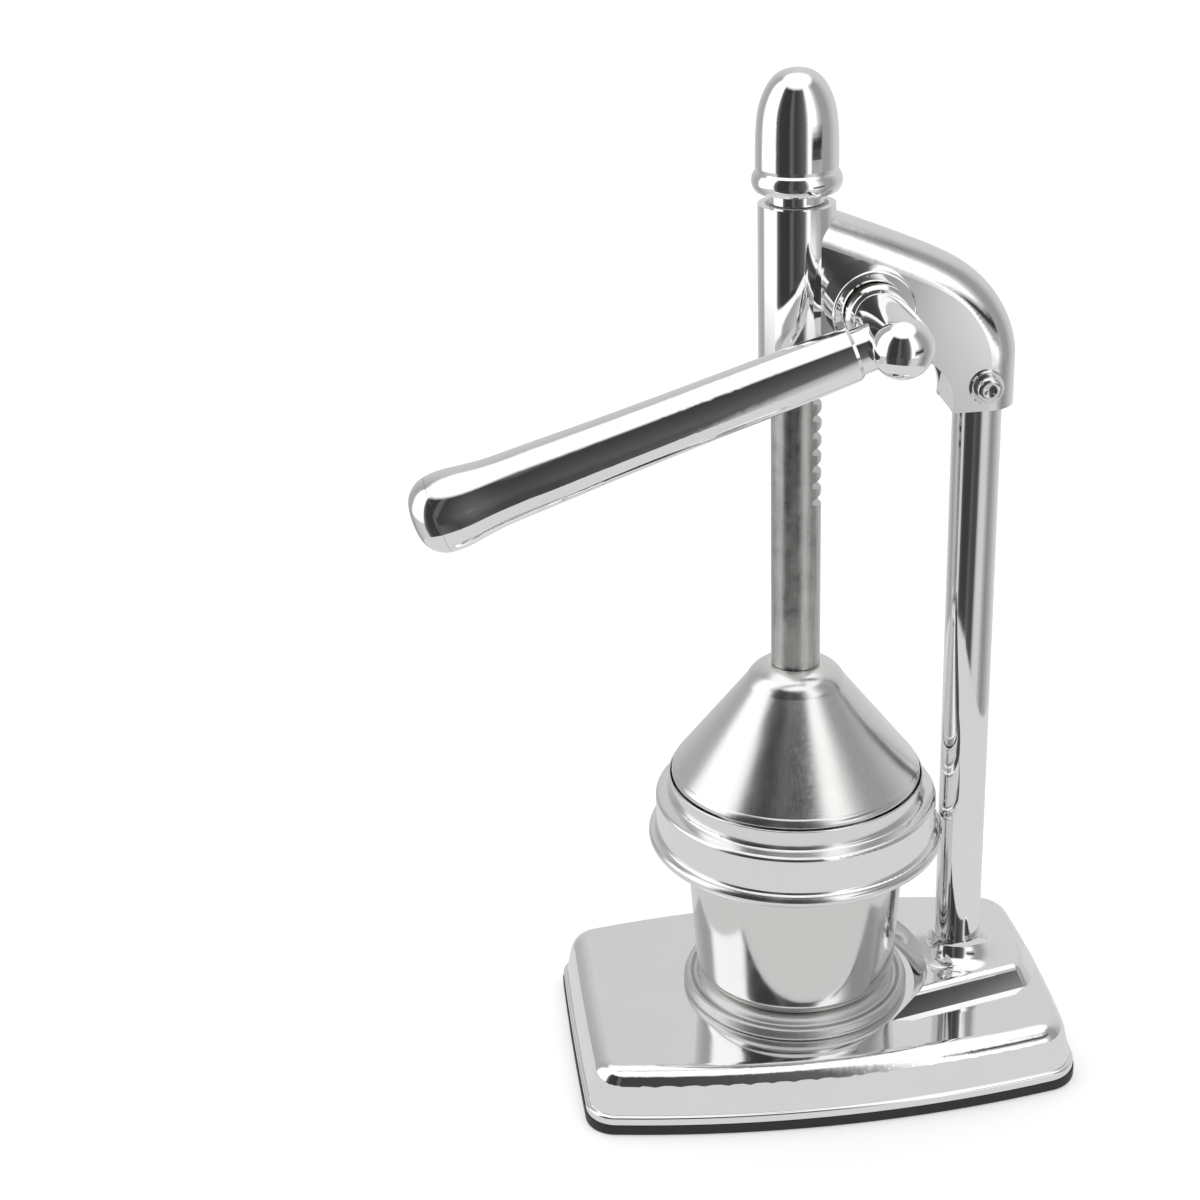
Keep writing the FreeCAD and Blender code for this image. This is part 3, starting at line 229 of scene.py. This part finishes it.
# a small flag, off to the right, seen only in reflections: a painted reflection, grey at its lower edge and near black
# above, that the foot of the column mirrors
aim = Vector((0.5954, -0.665, 0.4506))
across = aim.cross(Vector((0.0, 0.0, 1.0))).normalized()
rise = across.cross(aim).normalized()
middle = Vector((0.058, -0.030, 0.028)) + 0.5 * aim
mesh = bpy.data.meshes.new("flag")
mesh.from_pydata([middle + a * across + b * rise for a, b in ((-0.15, -0.10), (0.15, -0.10), (0.15, 0.13), (-0.15, 0.13))], [], [(0, 1, 2, 3)])
flag = bpy.data.objects.new("flag", mesh)
scene.collection.objects.link(flag)
flag.visible_camera = False
flag.visible_diffuse = False
flag.visible_shadow = False
flag_paint = bpy.data.materials.new("flag_paint")
flag_paint.use_nodes = True
t = Tree(flag_paint.node_tree)
glow = t.node("ShaderNodeEmission")
split = t.node("ShaderNodeSeparateXYZ")
t.link(t.node("ShaderNodeTexCoord").outputs["Generated"], split.inputs[0])
# painted reflection: the flag glows grey at its lower edge and near black above, and fades out at its sides, top and
# foot
t.link(t.ramp(split.outputs[2], [(0.0, 0.45), (0.34, 0.40), (0.44, 0.10), (0.52, 0.03), (1.0, 0.03)]), glow.inputs["Color"])
sides = t.spread(t.math("MINIMUM", split.outputs[0], t.math("SUBTRACT", 1.0, split.outputs[0])), 0.0, 0.25, 0.0, 1.0)
top = t.spread(t.math("SUBTRACT", 1.0, split.outputs[2]), 0.0, 0.40, 0.0, 1.0)
foot = t.spread(split.outputs[2], 0.0, 0.20, 0.0, 1.0)
soft = t.node("ShaderNodeMixShader")
t.link(t.math("MULTIPLY", sides, t.math("MULTIPLY", top, foot)), soft.inputs[0])
t.link(t.node("ShaderNodeBsdfTransparent").outputs[0], soft.inputs[1])
t.link(glow.outputs[0], soft.inputs[2])
t.link(soft.outputs[0], t.node("ShaderNodeOutputMaterial").inputs["Surface"])
flag.data.materials.append(flag_paint)

# ------------------------------------------------------------- materials --


def material(name):
    m = bpy.data.materials.new(name)
    m.use_nodes = True
    t = Tree(m.node_tree)
    shader = t.node("ShaderNodeBsdfPrincipled")
    t.link(shader.outputs[0], t.node("ShaderNodeOutputMaterial").inputs["Surface"])
    return m, t, shader


def place(t):
    return t.node("ShaderNodeTexCoord").outputs["Object"]


def tinted(t, factor, dark, light):
    return t.ramp(factor, [(0.0, dark), (1.0, light)])


def bump(t, shader, height, distance, strength=1.0):
    n = t.node("ShaderNodeBump")
    n.inputs["Strength"].default_value = strength
    n.inputs["Distance"].default_value = distance
    t.link(height, n.inputs["Height"])
    t.link(n.outputs[0], shader.inputs["Normal"])


def round_axis(t, p, centre=(0.0, 0.0)):
    """Coordinates that change across turning marks and hardly along them: radius, height, and the turn as cosine and sine."""
    split = t.node("ShaderNodeSeparateXYZ")
    t.link(p, split.inputs[0])
    x = t.math("SUBTRACT", split.outputs[0], centre[0])
    y = t.math("SUBTRACT", split.outputs[1], centre[1])
    r = t.math("SQRT", t.math("ADD", t.math("MULTIPLY", x, x), t.math("MULTIPLY", y, y)))
    return r, split.outputs[2], t.math("DIVIDE", x, r), t.math("DIVIDE", y, r)


def chrome(name, rough=0.05, wave=0.00001, wave_scale=60.0, marks=0.0, light=0.93):
    """Polished plating: a little waviness left by the polishing wheel, faint haze, and fine rubbing marks."""
    m, t, shader = material(name)
    p = place(t)
    shader.inputs["Metallic"].default_value = 1.0
    haze = t.noise(p, 34.0, 4.0, 0.6)
    shader.inputs["Base Color"].default_value = (light, light, light, 1.0)
    t.link(tinted(t, haze, (light - 0.05, light - 0.05, light - 0.045), (light + 0.02, light + 0.02, light + 0.025)), shader.inputs["Base Color"])
    fine = t.noise(t.scaled(p, 1.0, 1.0, 1.0), 420.0, 5.0, 0.7)
    level = t.math("ADD", t.spread(haze, 0.3, 0.7, rough * 0.6, rough * 1.3), t.spread(fine, 0.55, 0.8, 0.0, marks), clamp=True)
    t.link(level, shader.inputs["Roughness"])
    bump(t, shader, t.noise(p, wave_scale, 2.0, 0.5), wave)
    return m


def turned(name, colour=(0.72, 0.72, 0.71), rough=0.26, turning=0.5, lines=900.0, depth=0.000006, centre=(0.0, 0.0), contrast=0.10):
    """Steel polished while it turned: fine lines that run round the axis."""
    m, t, shader = material(name)
    p = place(t)
    r, height, cosine, sine = round_axis(t, p, centre)
    joined = t.node("ShaderNodeCombineXYZ")
    t.link(r, joined.inputs[0])
    t.link(height, joined.inputs[1])
    t.link(t.math("MULTIPLY", cosine, 0.0008), joined.inputs[2])
    grain = t.noise(joined.outputs[0], lines, 4.0, 0.65, w=t.math("MULTIPLY", sine, 0.6))
    broad = t.noise(joined.outputs[0], lines * 0.12, 2.0, 0.5, w=t.math("MULTIPLY", sine, 0.2))
    shader.inputs["Metallic"].default_value = 1.0
    shader.inputs["Anisotropic"].default_value = turning
    low = tuple(v - contrast for v in colour)
    high = tuple(min(v + contrast, 1.0) for v in colour)
    t.link(tinted(t, grain, low, high), shader.inputs["Base Color"])
    t.link(t.math("ADD", t.spread(grain, 0.3, 0.7, rough * 0.75, rough * 1.15), t.spread(broad, 0.3, 0.7, -0.02, 0.03)), shader.inputs["Roughness"])
    bump(t, shader, grain, depth, 0.6)
    return m


def mottled(name, colour=(0.60, 0.60, 0.585), rough=0.30):
    """Dull plated bar: faint cloudy patches and lengthwise drawing marks."""
    m, t, shader = material(name)
    p = place(t)
    shader.inputs["Metallic"].default_value = 1.0
    cloud = t.noise(p, 90.0, 5.0, 0.65)
    streak = t.noise(t.scaled(p, 1.0, 1.0, 0.04), 1400.0, 3.0, 0.6)
    both = t.math("MULTIPLY_ADD", streak, 0.4, t.math("MULTIPLY", cloud, 0.6))
    low = tuple(v - 0.16 for v in colour)
    high = tuple(v + 0.14 for v in colour)
    t.link(t.ramp(both, [(0.32, low), (0.68, high)]), shader.inputs["Base Color"])
    t.link(t.spread(cloud, 0.3, 0.7, rough * 0.7, rough * 1.3), shader.inputs["Roughness"])
    bump(t, shader, both, 0.00004, 0.5)
    return m


def plain_steel(name, colour, rough, metal=1.0, scale=240.0, depth=0.00001):
    m, t, shader = material(name)
    p = place(t)
    n = t.noise(p, scale, 4.0, 0.6)
    low = tuple(max(v - 0.07, 0.0) for v in colour)
    high = tuple(min(v + 0.07, 1.0) for v in colour)
    t.link(tinted(t, n, low, high), shader.inputs["Base Color"])
    shader.inputs["Metallic"].default_value = metal
    t.link(t.spread(n, 0.3, 0.7, rough * 0.8, rough * 1.2), shader.inputs["Roughness"])
    bump(t, shader, n, depth)
    return m


def rubber(name):
    m, t, shader = material(name)
    p = place(t)
    n = t.noise(p, 900.0, 3.0, 0.6)
    t.link(tinted(t, n, (0.012, 0.012, 0.013), (0.035, 0.035, 0.037)), shader.inputs["Base Color"])
    t.link(t.spread(n, 0.3, 0.7, 0.42, 0.62), shader.inputs["Roughness"])
    shader.inputs["Specular IOR Level"].default_value = 0.4
    bump(t, shader, n, 0.00003)
    return m


PAINT = {
    "base_shell": chrome("chrome_base", 0.06, 0.000002, 12.0, 0.03, 0.93),
    "head_casting": chrome("chrome_head", 0.055, 0.00003, 48.0, 0.05, 0.92),
    "column": chrome("chrome_column", 0.05, 0.000004, 40.0, 0.02, 0.92),
    "lever_hub": chrome("chrome_hub", 0.05, 0.000012, 60.0, 0.04, 0.93),
    "handle_tube": chrome("chrome_handle", 0.05, 0.000008, 40.0, 0.04, 0.93),
    "handle_end_cap": chrome("chrome_handle_end", 0.05, 0.000008, 60.0, 0.04, 0.93),
    "rod_cap": chrome("chrome_cap", 0.05, 0.000008, 50.0, 0.02, 0.93),
    "head_bolt": chrome("bolt_steel", 0.12, 0.00001, 300.0, 0.05, 0.80),
    "head_bolt_washer": chrome("washer_steel", 0.12, 0.00001, 300.0, 0.05, 0.82),
    "head_bolt_nut": chrome("nut_steel", 0.14, 0.00001, 300.0, 0.05, 0.80),
    "press_hood": turned("hood_steel", (0.86, 0.855, 0.845), 0.19, 0.6, 620.0, 0.000006, contrast=0.13),
    "strainer_collar": turned("collar_steel", (0.89, 0.89, 0.885), 0.17, 0.4, 900.0, 0.000004, contrast=0.05),
    "strainer_band": turned("band_steel", (0.91, 0.91, 0.905), 0.17, 0.4, 900.0, 0.000004, contrast=0.05),
    "strainer_skirt": turned("skirt_steel", (0.80, 0.80, 0.79), 0.22, 0.4, 900.0, 0.000005, contrast=0.06),
    "strainer_bowl": turned("bowl_steel", (0.86, 0.86, 0.855), 0.18, 0.4, 900.0, 0.000005, contrast=0.06),
    "strainer_cone": turned("cone_steel", (0.76, 0.76, 0.75), 0.25, 0.4, 900.0, 0.000005, contrast=0.06),
    "juice_cup": turned("cup_steel", (0.80, 0.80, 0.79), 0.12, 0.35, 1100.0, 0.000003, contrast=0.05),
    "cup_saucer": turned("saucer_steel", (0.70, 0.70, 0.69), 0.40, 0.2, 500.0, 0.0000008, contrast=0.03),
    "rack_rod": mottled("rack_steel"),
    "base_pad": rubber("pad_rubber"),
    "bottom_plate": plain_steel("plate_paint", (0.14, 0.14, 0.15), 0.5, 0.0),
    "guide_bush_upper": plain_steel("nylon_upper", (0.82, 0.82, 0.78), 0.45, 0.0),
    "guide_bush_lower": plain_steel("nylon_lower", (0.82, 0.82, 0.78), 0.45, 0.0),
    "shaft_bush_front": plain_steel("bronze_front", (0.66, 0.47, 0.27), 0.35),
    "shaft_bush_rear": plain_steel("bronze_rear", (0.66, 0.47, 0.27), 0.35),
}
dull = plain_steel("zinc_steel", (0.62, 0.62, 0.60), 0.3)
for name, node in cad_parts.items():
    node.data.materials.clear()
    node.data.materials.append(PAINT.get(name, dull))
